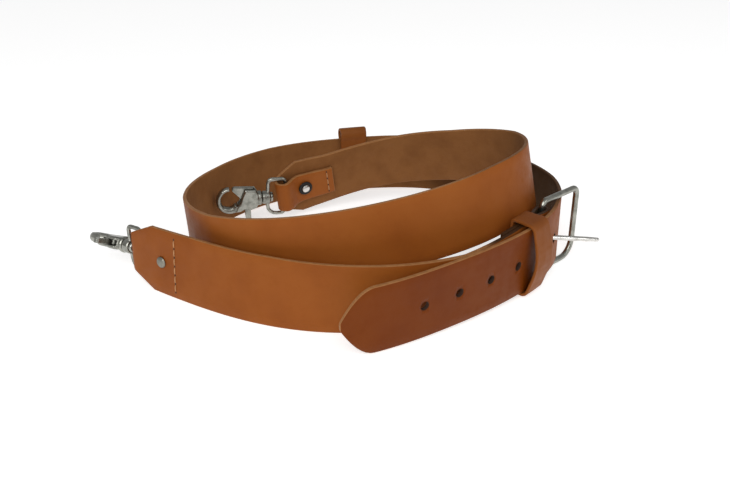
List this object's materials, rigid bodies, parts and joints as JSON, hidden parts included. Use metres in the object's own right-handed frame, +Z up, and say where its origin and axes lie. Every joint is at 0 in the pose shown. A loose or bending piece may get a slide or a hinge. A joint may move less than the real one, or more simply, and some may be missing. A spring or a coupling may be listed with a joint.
{
  "type": "radio strap",
  "caption": "Wide leather shoulder strap for a handheld radio, buckled in front and coiled on edge, with a swivelling snap at each end.",
  "frame": {"origin": "centre of the footprint, on the surface the strap stands on", "axes": "+X to the right seen from the front, +Y to the back, +Z up; the billet and the buckle are in front on the right"},
  "size_m": [0.3432, 0.28, 0.0846],
  "materials": {
    "leather": "smooth oiled orange-tan grain",
    "nickel": "satin nickel plate",
    "blackened": "blackened"
  },
  "bodies": {
    "strap": {"long_strap": "leather", "short_strap": "leather", "buckle_keeper": "leather", "cord_keeper": "leather", "buckle_frame": "nickel", "buckle_prong": "nickel", "front_rivet": "nickel", "inner_screw": "nickel", "inner_screw_washer": "blackened", "cord_keeper_screw": "nickel"},
    "front_eye": {"front_eye": "nickel"},
    "front_hook": {"front_hook": "nickel"},
    "front_trigger": {"front_trigger": "nickel"},
    "inner_eye": {"inner_eye": "nickel"},
    "inner_hook": {"inner_hook": "nickel"},
    "inner_trigger": {"inner_trigger": "nickel"}
  },
  "joints": [
    {"name": "front_eye_swing", "type": "hinge", "parent": "strap", "child": "front_eye", "pos_m": [-0.12896, -0.03835, 0.02172], "axis": [-0.0506, 0.0767, 0.9958], "range_deg": [-55, 25]},
    {"name": "front_swivel", "type": "hinge", "parent": "front_eye", "child": "front_hook", "pos_m": [-0.14027, -0.0289, 0.02041], "axis": [-0.7644, 0.6387, -0.088], "continuous": true},
    {"name": "front_trigger_pull", "type": "hinge", "parent": "front_hook", "child": "front_trigger", "pos_m": [-0.15289, -0.02193, 0.02036], "axis": [0.1939, 0.3579, 0.9134], "range_deg": [0, 28], "stiffness_Nm_per_rad": 0.05, "springref_deg": -28.65},
    {"name": "inner_eye_swing", "type": "hinge", "parent": "strap", "child": "inner_eye", "pos_m": [-0.04404, 0.0566, 0.02288], "axis": [0.0741, -0.1267, 0.9892], "range_deg": [0, 50]},
    {"name": "inner_swivel", "type": "hinge", "parent": "inner_eye", "child": "inner_hook", "pos_m": [-0.05818, 0.05225, 0.02338], "axis": [-0.9553, -0.2937, 0.034], "continuous": true},
    {"name": "inner_trigger_pull", "type": "hinge", "parent": "inner_hook", "child": "inner_trigger", "pos_m": [-0.07187, 0.04849, 0.02089], "axis": [0.2863, -0.9474, -0.1428], "range_deg": [0, 28], "stiffness_Nm_per_rad": 0.05, "springref_deg": -28.65}
  ]
}
